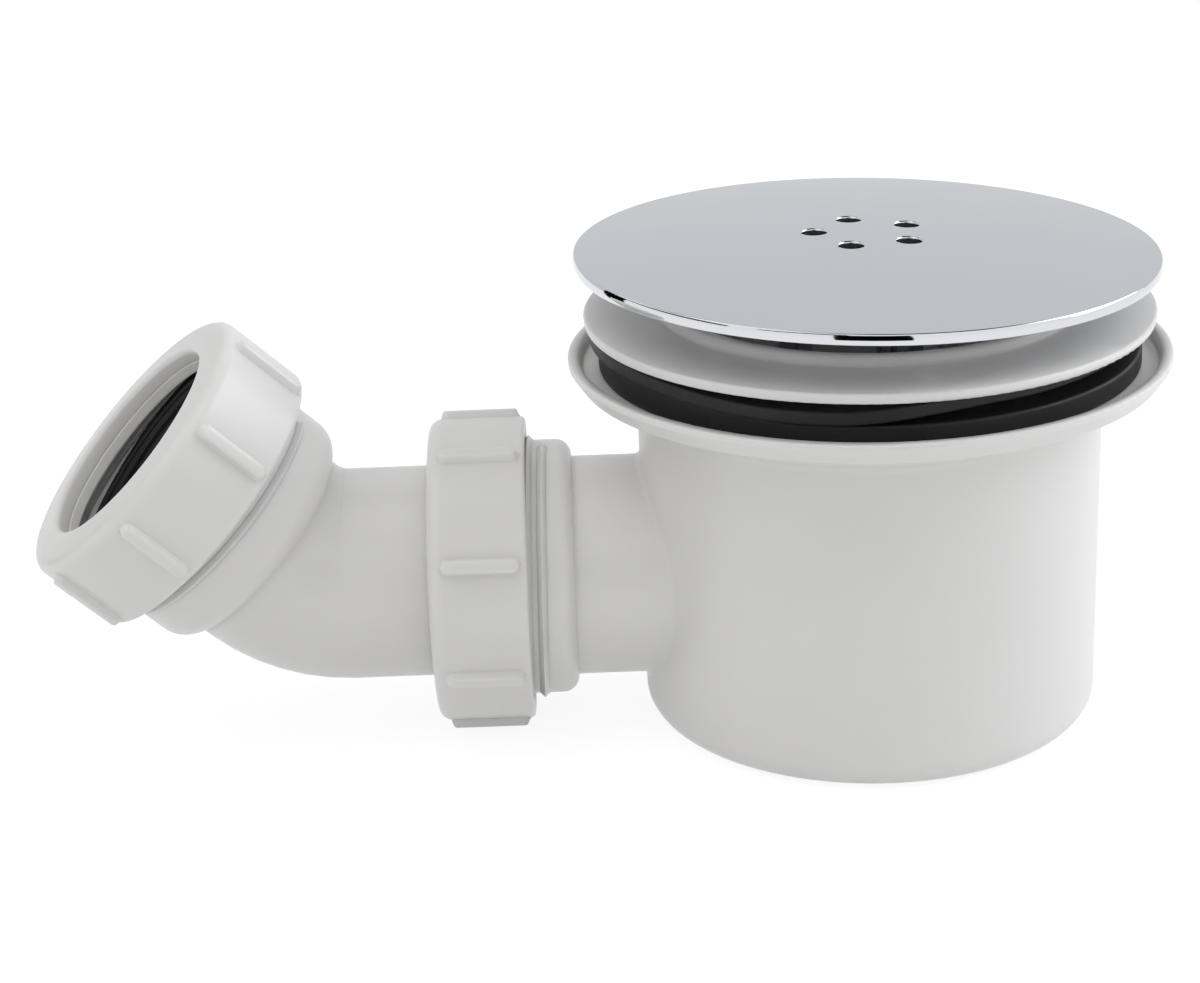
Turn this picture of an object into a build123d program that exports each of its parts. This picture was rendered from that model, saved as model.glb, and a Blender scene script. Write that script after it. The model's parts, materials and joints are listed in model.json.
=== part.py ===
from build123d import *
import math
import os

# Driving dimensions of the shower trap, in millimetres and degrees

# Trap body: a round cup that stands on its base, with a dished rim and a low side outlet
body_top_radius = 46.1
body_base_radius = 45.8
body_wall = 2.6
body_floor = 2.6
base_rounding = 5.5
floor_rounding = 3.0
dish_height = 73.6
dish_flare_height = 6.5
flare_rounding = 3.0
rim_depth = 2.5
rim_top_radius = 59.6
rim_bottom_radius = 57.5
rim_face = 4.2
rim_lip = 1.2
rim_wall = 2.0
edge_rounding = 0.5

# Outlet and pipe sizes, shared by the body, the elbow and the two compression joints
outlet_height = 31.4
stub_radius = 22.2
stub_wall = 2.7
stub_fillet = 1.6
shoulder_fillet = 0.3
pipe_radius = 21.35
pipe_wall = 2.2
socket_radius = 25.75
socket_clearance = 0.35
socket_depth = 18.4
stub_shoulder_rounding = 3.2
elbow_shoulder = 8.3
elbow_shoulder_rise = 2.2
elbow_shoulder_rounding = 5.0

# Compression nuts, the same moulding twice, with their slip rings and cone seals
outlet_nut_front = 88.9
nut_length = 20.0
nut_radius = 30.6
nut_thread_radius = 27.0
nut_lip = 3.2
nut_mouth_clearance = 0.55
nut_front_cone = 0.8
nut_front_rounding = 2.6
nut_back_rounding = 0.8
nut_mouth_rounding = 1.0
rib_count = 8
rib_height = 1.7
rib_width = 3.2
rib_length = 16.0
rib_back_margin = 1.1
rib_phase = 22.5
rib_rounding = 0.9
slip_thickness = 2.6
slip_clearance = 0.45
cone_seal_length = 6.2
cone_seal_grip = 4.0
cone_seal_clearance = 0.4
cone_seal_wide = 25.2
cone_seal_narrow = 22.7
seal_fit = 0.15
seat_gap = 0.1

# Elbow: a spigot, a tight bend and a socketed leg, swivelled a little towards the front
elbow_angle = 45.0
elbow_corner = 114.2
bend_radius = 22.0
elbow_leg = 47.2
elbow_swivel = 10.5
spigot_gap = 1.0
elbow_nut_turn = -20.6

# Rubber seals above and below the shower tray
lower_seal_clearance = 3.2
lower_seal_setback = 1.7
lower_seal_thickness = 4.2
upper_seal_clearance = 0.8
upper_seal_tail_gap = 3.6
upper_seal_thickness = 2.7
upper_seal_tilt = 1.2
upper_seal_low_side = 190.0
upper_seal_shift = 1.3
seal_rounding = 0.8
loose_clearance = 0.28

# Waste flange: a nearly flat ring with a raised throat collar and a threaded tail
flange_radius = 56.3
flange_lip = 1.5
flange_lip_depth = 2.05
flange_lip_draft = 0.3
flange_wall = 1.35
flange_slope = 1.2
throat_radius = 38.4
throat_rim_radius = 41.3
throat_rim_height = 2.1
throat_rounding = 1.2
throat_foot_rounding = 0.8
tail_radius = 42.4
tail_wall = 3.0
tail_length = 21.0
ledge_width = 2.6
ledge_thickness = 2.5
throat_depth = 10.5

# Dip tube, its ring seal and the hanging cup that holds the water seal
collar_clearance = 0.35
collar_height = 5.0
collar_land = 3.6
ring_section = 1.2
ring_squeeze = 0.05
funnel_height = 9.5
dip_radius = 23.0
dip_wall = 2.0
water_seal = 50.0
dip_gap = 6.5
cup_radius = 35.2
cup_wall = 1.8
cup_floor = 2.0
cup_base_gap = 2.9
cup_rounding = 4.0
fin_count = 3
fin_thickness = 2.0
fin_depth = 9.0
fin_rise = 4.0
lug_height = 3.0
lug_reach = 2.4
lug_width = 8.0

# Cover: a chrome-plated domed disc on five legs, with five small holes
cover_radius = 57.5
cover_edge = 2.25
cover_edge_bulge = 0.3
cover_edge_rounding = 0.3
cover_dome = 3.5
cover_wall = 2.2
cover_skirt = 2.0
cover_gap = 6.5
cover_tilt = 1.3
cover_high_side = 200.0
cover_shift = -0.5
hole_count = 5
hole_radius = 2.5
hole_circle = 10.1
hole_rounding = 0.45
hole_turn = -3.9
leg_thickness = 2.4
leg_inner_radius = 13.6
leg_foot = 2.0
leg_clearance = 1.3
leg_plug = 7.0
leg_plug_taper = 2.5


def turned(corners):
    # A solid turned about Z from corners given as radius, height and rounding
    points = [(radius, height) for radius, height, rounding in corners]
    roundings = [rounding for radius, height, rounding in corners]
    outline = FilletPolyline(*points, radius=roundings, close=True)
    return revolve(Plane.XZ * make_face(outline), Axis.Z)


def rod(radius, low, high):
    # A plain round bar on Z between two heights
    return Pos(0, 0, low) * Cylinder(radius, high - low, align=(Align.CENTER, Align.CENTER, Align.MIN))


def ring_of(shape, count, start=0.0):
    # Copies of a shape, evenly spaced about Z
    return [Rot(0, 0, start + step * 360.0 / count) * shape for step in range(count)]


# Radii of the dish and the two seals, from what holds them
web_radius = flange_radius - flange_lip
rim_lean = (rim_top_radius - rim_bottom_radius) / (rim_face - rim_lip)
dish_radius = rim_bottom_radius + (rim_face - rim_depth) * rim_lean - rim_wall
lower_seal_radius = min(dish_radius, rim_top_radius - rim_wall) - lower_seal_clearance
lower_seal_hole = body_top_radius - body_wall + lower_seal_setback
upper_seal_radius = web_radius - upper_seal_clearance
upper_seal_hole = tail_radius + upper_seal_tail_gap

# Heights of the stack, from the base upwards
rim_top = dish_height + rim_depth
lower_seal_top = dish_height + lower_seal_thickness
seal_drop = upper_seal_radius * math.sin(math.radians(upper_seal_tilt))
upper_seal_bottom = lower_seal_top + loose_clearance + seal_drop
upper_seal_top = upper_seal_bottom + upper_seal_thickness
web_bottom = upper_seal_top + seal_drop + loose_clearance
web_top = web_bottom + flange_wall
lip_bottom = web_top - flange_lip_depth
slope = math.tan(math.radians(flange_slope))
throat_foot = web_top + (web_radius - throat_rim_radius) * slope
throat_top = throat_foot + throat_rim_height
ledge_top = throat_top - throat_depth
collar_top = ledge_top + collar_height
cover_bottom = throat_top + cover_gap
cover_shoulder = cover_bottom + cover_edge
cover_top = cover_shoulder + cover_dome

# Frames of the outlet, the elbow's leg and the elbow's swivel
outlet_frame = Plane(origin=(0, 0, outlet_height), x_dir=(0, 0, 1), z_dir=(-1, 0, 0)).location
swivel_frame = outlet_frame * Rot(0, 0, -elbow_swivel)
leg_frame = swivel_frame * Pos(0, 0, elbow_corner) * Rot(0, elbow_angle, 0)


def socket_end(front):
    # Where a socket's mouth stands behind its nut's front face
    return front - nut_lip - slip_thickness - cone_seal_length + cone_seal_grip


def socket_stop(front):
    # Where a pipe pushed into the socket comes to rest
    return socket_end(front) - socket_depth


def socket_bore(front):
    # The hollow of a socket: a straight bore with a mouth that takes the cone seal
    bore = pipe_radius + socket_clearance
    mouth = socket_end(front)
    tip = front - nut_lip - slip_thickness - cone_seal_length
    taper = (cone_seal_wide - cone_seal_narrow) / cone_seal_length
    wide = cone_seal_narrow + seal_fit + (mouth - tip) * taper
    narrow = cone_seal_narrow + seal_fit
    over = mouth + socket_clearance
    return turned([
        (0, socket_stop(front), 0),
        (bore, socket_stop(front), 0),
        (bore, tip - seal_fit, 0),
        (narrow, tip - seal_fit, 0),
        (narrow, tip, 0),
        (wide, mouth, 0),
        (wide, over, 0),
        (0, over, 0),
    ])


def trap_body():
    # The cup, its rim and the outlet stub as one moulding
    outer = turned([
        (0, 0, 0),
        (body_base_radius, 0, base_rounding),
        (body_top_radius, dish_height - dish_flare_height, flare_rounding),
        (rim_bottom_radius, rim_top - rim_face, edge_rounding),
        (rim_top_radius, rim_top - rim_lip, edge_rounding),
        (rim_top_radius, rim_top, edge_rounding),
        (0, rim_top, 0),
    ])
    stop = socket_stop(outlet_nut_front)
    shoulder_start = stop - stub_wall
    stub = turned([
        (0, 0, 0),
        (stub_radius, 0, 0),
        (stub_radius, shoulder_start, shoulder_fillet),
        (socket_radius, shoulder_start, stub_shoulder_rounding),
        (socket_radius, socket_end(outlet_nut_front), 0),
        (0, socket_end(outlet_nut_front), 0),
    ])
    stub = outlet_frame * stub
    joined = outer + stub

    def where_stub_leaves(edge):
        # The long edge around the stub, where it comes out of the cup's wall
        middle = edge.center()
        beside_axis = abs(middle.Z - outlet_height) < stub_radius
        return -body_top_radius < middle.X < 0 and beside_axis and edge.length > stub_radius

    joined = fillet(joined.edges().filter_by(where_stub_leaves), stub_fillet)
    base_inside = body_base_radius - body_wall
    top_inside = body_top_radius - body_wall
    hollow = turned([
        (0, body_floor, 0),
        (base_inside, body_floor, floor_rounding),
        (top_inside, dish_height, edge_rounding),
        (dish_radius, dish_height, edge_rounding),
        (rim_top_radius - rim_wall, rim_top, 0),
        (rim_top_radius - rim_wall, rim_top + rim_depth, 0),
        (0, rim_top + rim_depth, 0),
    ])
    waterway = outlet_frame * rod(stub_radius - stub_wall, base_inside / 2, stop + seat_gap)
    return joined - hollow - waterway - outlet_frame * socket_bore(outlet_nut_front)


def elbow():
    # Spigot, bend and socketed leg as one moulding, about the outlet axis
    corner = math.tan(math.radians(elbow_angle / 2))
    tangent = bend_radius * corner
    start = socket_stop(outlet_nut_front) + spigot_gap
    leg = Pos(0, 0, elbow_corner) * Rot(0, elbow_angle, 0)
    stop = socket_stop(elbow_leg)
    shoulder_start = stop - elbow_shoulder

    def waterpipe(radius, low, high):
        # A round bar that follows the elbow's middle line
        straight = rod(radius, low, elbow_corner - tangent)
        circle = Pos(0, 0, elbow_corner - tangent) * Circle(radius)
        bend_axis = Axis((bend_radius, 0, elbow_corner - tangent), (0, 1, 0))
        bend = revolve(circle, bend_axis, elbow_angle)
        return straight + bend + leg * rod(radius, tangent, high)

    socket = turned([
        (0, shoulder_start, 0),
        (pipe_radius, shoulder_start, 0),
        (socket_radius, shoulder_start + elbow_shoulder_rise, elbow_shoulder_rounding),
        (socket_radius, socket_end(elbow_leg), 0),
        (0, socket_end(elbow_leg), 0),
    ])
    outside = waterpipe(pipe_radius, start, stop) + leg * socket
    inside = waterpipe(pipe_radius - pipe_wall, start - spigot_gap, stop + seat_gap)
    return outside - inside - leg * socket_bore(elbow_leg)


def compression_nut(front):
    # A ribbed nut with an inward lip at its front, on Z
    back = front - nut_length
    mouth = pipe_radius + nut_mouth_clearance
    shell = turned([
        (nut_thread_radius, back, edge_rounding),
        (nut_radius, back, nut_back_rounding),
        (nut_radius, front - nut_front_cone, nut_front_rounding),
        (mouth, front, nut_mouth_rounding),
        (mouth, front - nut_lip, 0),
        (nut_thread_radius, front - nut_lip, 0),
    ])
    rib_middle = back + rib_back_margin + rib_length / 2
    root = nut_radius - nut_back_rounding
    rib_plane = Plane(origin=(root, 0, rib_middle), x_dir=(0, 0, 1), z_dir=(1, 0, 0))
    rib = extrude(rib_plane * SlotOverall(rib_length, rib_width), nut_radius + rib_height - root)
    rib = fillet(rib.faces().sort_by(Axis.X)[-1].edges(), rib_rounding)
    for copy in ring_of(rib, rib_count, rib_phase):
        shell += copy
    return shell


def slip_ring(front):
    # A flat plastic washer between the nut's lip and the cone seal
    high = front - nut_lip - seat_gap
    inner = pipe_radius + slip_clearance
    outer = nut_thread_radius - slip_clearance
    return turned([
        (inner, high - slip_thickness + seat_gap, edge_rounding),
        (outer, high - slip_thickness + seat_gap, edge_rounding),
        (outer, high, edge_rounding),
        (inner, high, edge_rounding),
    ])


def cone_seal(front):
    # A tapered rubber ring that the nut presses into the socket's mouth
    wide_end = front - nut_lip - slip_thickness - seat_gap
    tip = front - nut_lip - slip_thickness - cone_seal_length
    inner = pipe_radius + cone_seal_clearance
    return turned([
        (inner, tip, 0),
        (cone_seal_narrow, tip, 0),
        (cone_seal_wide, wide_end, 0),
        (inner, wide_end, edge_rounding),
    ])


def lower_seal():
    return turned([
        (lower_seal_hole, dish_height, seal_rounding),
        (lower_seal_radius, dish_height, seal_rounding),
        (lower_seal_radius, lower_seal_top, seal_rounding),
        (lower_seal_hole, lower_seal_top, seal_rounding),
    ])


def upper_seal():
    # A loose ring that has slipped to one side and hangs down there
    ring = turned([
        (upper_seal_hole, 0, seal_rounding),
        (upper_seal_radius, 0, seal_rounding),
        (upper_seal_radius, upper_seal_thickness, seal_rounding),
        (upper_seal_hole, upper_seal_thickness, seal_rounding),
    ])
    hang = Rot(0, 0, upper_seal_low_side) * Pos(upper_seal_shift, 0, 0) * Rot(0, upper_seal_tilt, 0)
    return Pos(0, 0, upper_seal_bottom) * hang * ring


def waste_flange():
    # Ring with a downturned lip, a raised throat with a ledge inside, and the tail
    web_rise = (web_radius - tail_radius) * slope
    tail_bottom = web_bottom - tail_length
    tail_bore = tail_radius - tail_wall
    ledge_radius = throat_radius - ledge_width
    return turned([
        (throat_radius, throat_top, throat_rounding),
        (throat_rim_radius, throat_top, throat_rounding),
        (throat_rim_radius, throat_foot, throat_foot_rounding),
        (flange_radius, web_top, edge_rounding),
        (flange_radius - flange_lip_draft, lip_bottom, edge_rounding),
        (web_radius, lip_bottom, edge_rounding),
        (web_radius, web_bottom, edge_rounding),
        (tail_radius, web_bottom + web_rise, edge_rounding),
        (tail_radius, tail_bottom, edge_rounding),
        (tail_bore, tail_bottom, edge_rounding),
        (tail_bore, ledge_top - ledge_thickness, 0),
        (ledge_radius, ledge_top - ledge_thickness, edge_rounding),
        (ledge_radius, ledge_top, edge_rounding),
        (throat_radius, ledge_top, 0),
    ])


collar_radius = throat_radius - collar_clearance
groove_middle = ledge_top + collar_height / 2
ring_middle = throat_radius - ring_section - ring_squeeze
funnel_radius = collar_radius - collar_land
cup_bottom = body_floor + cup_base_gap
dip_bottom = cup_bottom + cup_floor + dip_gap
cup_rim = dip_bottom + water_seal
fin_shoulder = cup_rim - lug_height - seat_gap
cup_inside = cup_radius - cup_wall


def dip_tube():
    # A collar that seats in the throat, a funnel, the tube and the fins that carry the cup
    groove_depth = ring_middle - ring_section - ring_squeeze
    groove_half = ring_section + ring_squeeze
    under_funnel = throat_radius - ledge_width - collar_clearance
    bore = dip_radius - dip_wall
    tube = turned([
        (under_funnel, ledge_top, 0),
        (collar_radius, ledge_top, edge_rounding),
        (collar_radius, groove_middle - groove_half, 0),
        (groove_depth, groove_middle - groove_half, 0),
        (groove_depth, groove_middle + groove_half, 0),
        (collar_radius, groove_middle + groove_half, 0),
        (collar_radius, collar_top, edge_rounding),
        (funnel_radius, collar_top, edge_rounding),
        (bore, collar_top - funnel_height, edge_rounding),
        (bore, dip_bottom, 0),
        (dip_radius, dip_bottom, edge_rounding),
        (dip_radius, ledge_top - funnel_height, edge_rounding),
    ])
    wide = cup_inside - collar_clearance
    slim = cup_inside - lug_reach - collar_clearance
    root = dip_radius - dip_wall / 2
    fin_outline = Polyline(
        (root, fin_shoulder - fin_depth),
        (wide, fin_shoulder - fin_depth),
        (wide, fin_shoulder),
        (slim, fin_shoulder),
        (slim, cup_rim + fin_rise),
        (root, cup_rim + fin_rise),
        close=True,
    )
    fin = extrude(Plane.XZ * make_face(fin_outline), fin_thickness / 2, both=True)
    for copy in ring_of(fin, fin_count):
        tube += copy
    return tube


def dip_tube_seal():
    # A round-section ring in the collar's groove
    circle = Plane.XZ * Pos(ring_middle, groove_middle) * Circle(ring_section)
    return revolve(circle, Axis.Z)


def seal_cup():
    # The hanging cup with its bayonet lugs
    cup = turned([
        (0, cup_bottom, 0),
        (cup_radius, cup_bottom, cup_rounding),
        (cup_radius, cup_rim, edge_rounding),
        (cup_inside, cup_rim, edge_rounding),
        (cup_inside, cup_bottom + cup_floor, cup_rounding - cup_wall),
        (0, cup_bottom + cup_floor, 0),
    ])
    band = rod(cup_inside + cup_wall / 2, cup_rim - lug_height, cup_rim)
    band -= rod(cup_inside - lug_reach, cup_rim - lug_height, cup_rim)
    block = Pos(cup_inside, 0, cup_rim - lug_height / 2) * Box(cup_radius, lug_width, lug_height)
    for copy in ring_of(band & block, fin_count):
        cup += copy
    return cup


def dome_height(radius, top, rise, span):
    # Height of a round-topped dome at a radius, from its top and its rise over a span
    ball = (span * span + rise * rise) / (2 * rise)
    return top - ball + math.sqrt(ball * ball - radius * radius)


def top_cover():
    # The domed disc with its rounded edge, the holes and the legs as one moulding, lying slightly tilted
    shoulder = cover_radius - cover_edge_bulge
    skirt = cover_radius - cover_skirt
    under_top = cover_top - cover_wall
    under_rise = under_top - cover_bottom
    with BuildSketch(Plane.XZ) as section:
        with BuildLine():
            middle = (0, cover_top)
            over = (shoulder / 2, dome_height(shoulder / 2, cover_top, cover_dome, shoulder))
            ThreePointArc(middle, over, (shoulder, cover_shoulder))
            edge_middle = (cover_radius, cover_bottom + cover_edge / 2)
            ThreePointArc((shoulder, cover_shoulder), edge_middle, (shoulder, cover_bottom))
            Line((shoulder, cover_bottom), (skirt, cover_bottom))
            under = (skirt / 2, dome_height(skirt / 2, under_top, under_rise, skirt))
            ThreePointArc((skirt, cover_bottom), under, (0, under_top))
            Line((0, under_top), middle)
        make_face()
    plate = revolve(section.sketch, Axis.Z)

    def at_rim_corner(edge):
        # The two round edges above and below the cover's outer band
        return edge.geom_type == GeomType.CIRCLE and abs(edge.radius - shoulder) < cover_edge_bulge / 2

    plate = fillet(plate.edges().filter_by(at_rim_corner), cover_edge_rounding)
    drill = rod(hole_radius, cover_bottom, cover_top + cover_wall)
    for copy in ring_of(Pos(hole_circle, 0, 0) * drill, hole_count, 180.0 + hole_turn):
        plate -= copy

    def at_hole_mouth(edge):
        # The round edge where a hole comes out of the top face
        middle = edge.center()
        off_circle = abs(math.hypot(middle.X, middle.Y) - hole_circle)
        by_hole = off_circle < hole_radius + hole_rounding
        return middle.Z > under_top and by_hole and edge.geom_type != GeomType.LINE

    plate = fillet(plate.edges().filter_by(at_hole_mouth), hole_rounding)
    foot_outer = funnel_radius + leg_foot
    leg_top = cover_top - cover_wall / 2
    leg_edge_top = dome_height(foot_outer, cover_top, cover_dome, shoulder) - cover_wall / 2
    plug = dip_radius - dip_wall - leg_clearance
    seat = collar_top + seat_gap + foot_outer * math.sin(math.radians(cover_tilt))
    cone_low = seat - funnel_height + leg_clearance
    plug_end = cone_low - leg_plug
    leg_outline = Polyline(
        (leg_inner_radius, leg_top),
        (foot_outer, leg_edge_top),
        (foot_outer, seat),
        (funnel_radius - leg_clearance, seat),
        (plug, cone_low),
        (plug, plug_end + leg_plug_taper),
        (plug - leg_plug_taper / 2, plug_end),
        (leg_inner_radius, plug_end),
        close=True,
    )
    leg = extrude(Plane.XZ * make_face(leg_outline), leg_thickness / 2, both=True)
    for copy in ring_of(leg, hole_count, hole_turn):
        plate += copy
    lean = Rot(0, 0, cover_high_side) * Rot(0, -cover_tilt, 0) * Rot(0, 0, -cover_high_side)
    return Pos(cover_shift, 0, cover_bottom) * lean * Pos(0, 0, -cover_bottom) * plate


nodes = {
    "trap_body": trap_body(),
    "lower_seal": lower_seal(),
    "upper_seal": upper_seal(),
    "waste_flange": waste_flange(),
    "dip_tube": dip_tube(),
    "dip_tube_seal": dip_tube_seal(),
    "seal_cup": seal_cup(),
    "top_cover": top_cover(),
    "outlet_nut": outlet_frame * compression_nut(outlet_nut_front),
    "outlet_slip_ring": outlet_frame * slip_ring(outlet_nut_front),
    "outlet_seal": outlet_frame * cone_seal(outlet_nut_front),
    "elbow": swivel_frame * elbow(),
    "elbow_nut": leg_frame * Rot(0, 0, elbow_nut_turn) * compression_nut(elbow_leg),
    "elbow_slip_ring": leg_frame * slip_ring(elbow_leg),
    "elbow_seal": leg_frame * cone_seal(elbow_leg),
}

os.makedirs("parts", exist_ok=True)
for name, solid in nodes.items():
    export_step(solid, f"parts/{name}.step")
    print(name, round(solid.volume / 1000, 2), "cubic cm")
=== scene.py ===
import bmesh
import bpy
import json
import math
from mathutils import Matrix, Vector

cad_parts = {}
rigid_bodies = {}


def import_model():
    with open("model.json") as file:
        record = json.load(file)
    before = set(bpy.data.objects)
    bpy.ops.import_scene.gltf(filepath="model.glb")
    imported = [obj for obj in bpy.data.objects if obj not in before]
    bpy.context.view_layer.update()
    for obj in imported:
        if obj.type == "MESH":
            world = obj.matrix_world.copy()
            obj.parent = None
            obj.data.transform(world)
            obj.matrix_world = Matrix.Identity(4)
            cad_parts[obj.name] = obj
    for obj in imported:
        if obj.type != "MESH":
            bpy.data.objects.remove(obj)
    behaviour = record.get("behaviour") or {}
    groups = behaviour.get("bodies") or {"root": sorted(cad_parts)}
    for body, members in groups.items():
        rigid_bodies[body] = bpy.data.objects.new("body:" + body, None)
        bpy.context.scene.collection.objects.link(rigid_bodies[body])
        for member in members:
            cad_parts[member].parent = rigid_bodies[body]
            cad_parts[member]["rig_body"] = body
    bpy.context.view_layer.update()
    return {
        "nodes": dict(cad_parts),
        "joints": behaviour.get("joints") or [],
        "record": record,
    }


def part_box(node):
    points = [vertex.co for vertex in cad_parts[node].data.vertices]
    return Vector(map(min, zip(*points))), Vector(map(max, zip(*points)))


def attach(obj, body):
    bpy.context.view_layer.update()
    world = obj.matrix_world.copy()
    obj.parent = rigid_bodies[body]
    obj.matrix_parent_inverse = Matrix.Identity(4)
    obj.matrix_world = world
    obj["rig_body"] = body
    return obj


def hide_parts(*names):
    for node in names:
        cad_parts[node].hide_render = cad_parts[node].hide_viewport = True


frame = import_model()
scene = bpy.context.scene
joints = {joint["name"]: joint for joint in frame["joints"]}
mm = 0.001
arcTurn = 0.2  # largest turn between neighbouring points of an arc
print("frame loaded:", len(frame["nodes"]), "CAD nodes")


# Small helpers that every piece below uses

def linearColour(hexCode):
    # sRGB hex to the linear colour that a shader socket takes
    channels = [int(hexCode[at:at + 2], 16) / 255 for at in (1, 3, 5)]
    return [c / 12.92 if c <= 0.04045 else ((c + 0.055) / 1.055) ** 2.4 for c in channels] + [1.0]


def addNode(tree, kind, settings=None, feeds=None):
    # One node; a feed is a plain value or another node's output
    node = tree.nodes.new(kind)
    for name, value in (settings or {}).items():
        setattr(node, name, value)
    for key, value in (feeds or {}).items():
        if isinstance(value, bpy.types.NodeSocket):
            tree.links.new(value, node.inputs[key])
        else:
            node.inputs[key].default_value = value
    return node


def startTree(name, sizes):
    # A Geometry Nodes tree with a named input for each size
    tree = bpy.data.node_groups.new(name, "GeometryNodeTree")
    tree.interface.new_socket("Geometry", in_out="INPUT", socket_type="NodeSocketGeometry")
    for label in sizes:
        kind = "NodeSocketInt" if label in ("Count", "Steps") else "NodeSocketFloat"
        tree.interface.new_socket(label, in_out="INPUT", socket_type=kind)
    tree.interface.new_socket("Material", in_out="INPUT", socket_type="NodeSocketMaterial")
    tree.interface.new_socket("Geometry", in_out="OUTPUT", socket_type="NodeSocketGeometry")
    return tree, addNode(tree, "NodeGroupInput").outputs


def endTree(tree, sizes, geometry):
    # Every tree ends in real geometry with its material set
    real = addNode(tree, "GeometryNodeRealizeInstances", feeds={"Geometry": geometry})
    painted = addNode(tree, "GeometryNodeSetMaterial",
                      feeds={"Geometry": real.outputs[0], "Material": sizes["Material"]})
    addNode(tree, "NodeGroupOutput", feeds={"Geometry": painted.outputs[0]})


def grow(name, mesh, tree, values):
    # Runs a tree on a mesh and hands back the result as a plain mesh
    seed = bpy.data.objects.new(name, mesh)
    scene.collection.objects.link(seed)
    modifier = seed.modifiers.new(tree.name, "NODES")
    modifier.node_group = tree
    for item in tree.interface.items_tree:
        if item.in_out == "INPUT" and item.name in values:
            modifier[item.identifier] = values[item.name]
    evaluated = seed.evaluated_get(bpy.context.evaluated_depsgraph_get())
    result = bpy.data.meshes.new_from_object(evaluated)
    bpy.data.objects.remove(seed)
    return result


def roundedOutline(corners, step):
    # Corners given as radius, height and rounding become arcs, and long straights are divided
    outline = []
    for at, (radius, height, rounding) in enumerate(corners):
        here = Vector((radius, height))
        before = Vector(corners[at - 1][:2]) - here
        after = Vector(corners[(at + 1) % len(corners)][:2]) - here
        if rounding == 0:
            outline.append(here)
            continue
        halfAngle = before.angle(after) / 2
        reach = rounding / math.tan(halfAngle)
        inward = (before.normalized() + after.normalized()).normalized()
        middle = here + inward * rounding / math.sin(halfAngle)
        first = here + before.normalized() * reach - middle
        last = here + after.normalized() * reach - middle
        turn = first.angle_signed(last)
        pieces = max(3, math.ceil(abs(turn) * rounding / step), math.ceil(abs(turn) / arcTurn))
        for k in range(pieces + 1):
            outline.append(middle + Matrix.Rotation(-turn * k / pieces, 2) @ first)
    divided = []
    for at, point in enumerate(outline):
        onward = outline[(at + 1) % len(outline)] - point
        parts = max(1, math.ceil(onward.length / step - 0.001))
        divided += [point + onward * k / parts for k in range(parts)]
    return divided


def ringMesh(name, outline, angles, bend=None):
    # A closed outline in mm turned about Z, with an optional bend of each point
    bm = bmesh.new()
    rows = []
    for angle in angles:
        row = []
        for radius, height in outline:
            place = Vector((radius * math.cos(angle), radius * math.sin(angle), height))
            row.append(bm.verts.new((bend(place, angle) if bend else place) * mm))
        rows.append(row)
    count = len(outline)
    for at, row in enumerate(rows):
        following = rows[(at + 1) % len(rows)]
        for k in range(count):
            bm.faces.new((row[k], following[k], following[(k + 1) % count], row[(k + 1) % count]))
    bmesh.ops.recalc_face_normals(bm, faces=bm.faces)
    mesh = bpy.data.meshes.new(name)
    bm.to_mesh(mesh)
    bm.free()
    return mesh


def evenAngles(count):
    return [math.tau * k / count for k in range(count)]


def axisFrame(origin, axis, sideways):
    # Local Z runs along the axis from the origin, and local Y points sideways
    across = sideways.cross(axis)
    turn = Matrix((across, sideways, axis)).transposed()
    return Matrix.Translation(origin) @ turn.to_4x4()


def reachAlong(node, place):
    # Lowest and highest point of a CAD node along an axis frame, in mm
    inverse = place.inverted()
    heights = [(inverse @ vertex.co).z / mm for vertex in frame["nodes"][node].data.vertices]
    return min(heights), max(heights)


def joinMeshes(name, meshes):
    # Several meshes in the row frame as one
    bm = bmesh.new()
    for mesh in meshes:
        bm.from_mesh(mesh)
    joined = bpy.data.meshes.new(name)
    bm.to_mesh(joined)
    bm.free()
    return joined


def showPiece(name, mesh, material, node, sharpAngle=35):
    # A finished mesh becomes a piece that stands for its CAD node and rides on that node's body
    mesh.materials.clear()
    mesh.materials.append(material)
    mesh.polygons.foreach_set("material_index", [0] * len(mesh.polygons))
    mesh.shade_smooth()
    mesh.set_sharp_from_angle(angle=math.radians(sharpAngle))
    piece = bpy.data.objects.new(name, mesh)
    scene.collection.objects.link(piece)
    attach(piece, frame["nodes"][node]["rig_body"])
    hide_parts(node)
    return piece


def solidCopy(node):
    # A CAD solid's mesh with its loose triangles merged, so that it can be shaded smooth
    bm = bmesh.new()
    bm.from_mesh(frame["nodes"][node].data)
    bmesh.ops.remove_doubles(bm, verts=bm.verts, dist=mergeDistance)
    mesh = bpy.data.meshes.new(node)
    bm.to_mesh(mesh)
    bm.free()
    return mesh


mergeDistance = 0.0005 * mm
slotOf = {part["node"]: part["material_slot"] for part in frame["record"]["subparts"]}


# Materials

def startMaterial(name):
    material = bpy.data.materials.new(name)
    material.use_nodes = True
    tree = material.node_tree
    shader = tree.nodes["Principled BSDF"]
    place = addNode(tree, "ShaderNodeTexCoord").outputs["Object"]
    return material, tree, shader, place


def perMillimetre(size):
    # Noise scale whose features are about this many millimetres across
    return 1 / (size * mm)


polypropyleneLook = {
    "body": "#dfdedc", "paler": "#e4e3e1", "blotch": 22.0,
    "roughness": (0.30, 0.38), "sheenPatch": 5.0,
    "peel": 0.9, "peelDepth": 0.006, "through": 0.35, "reach": 3.0, "reachTint": (1.0, 0.97, 0.92),
}


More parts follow.
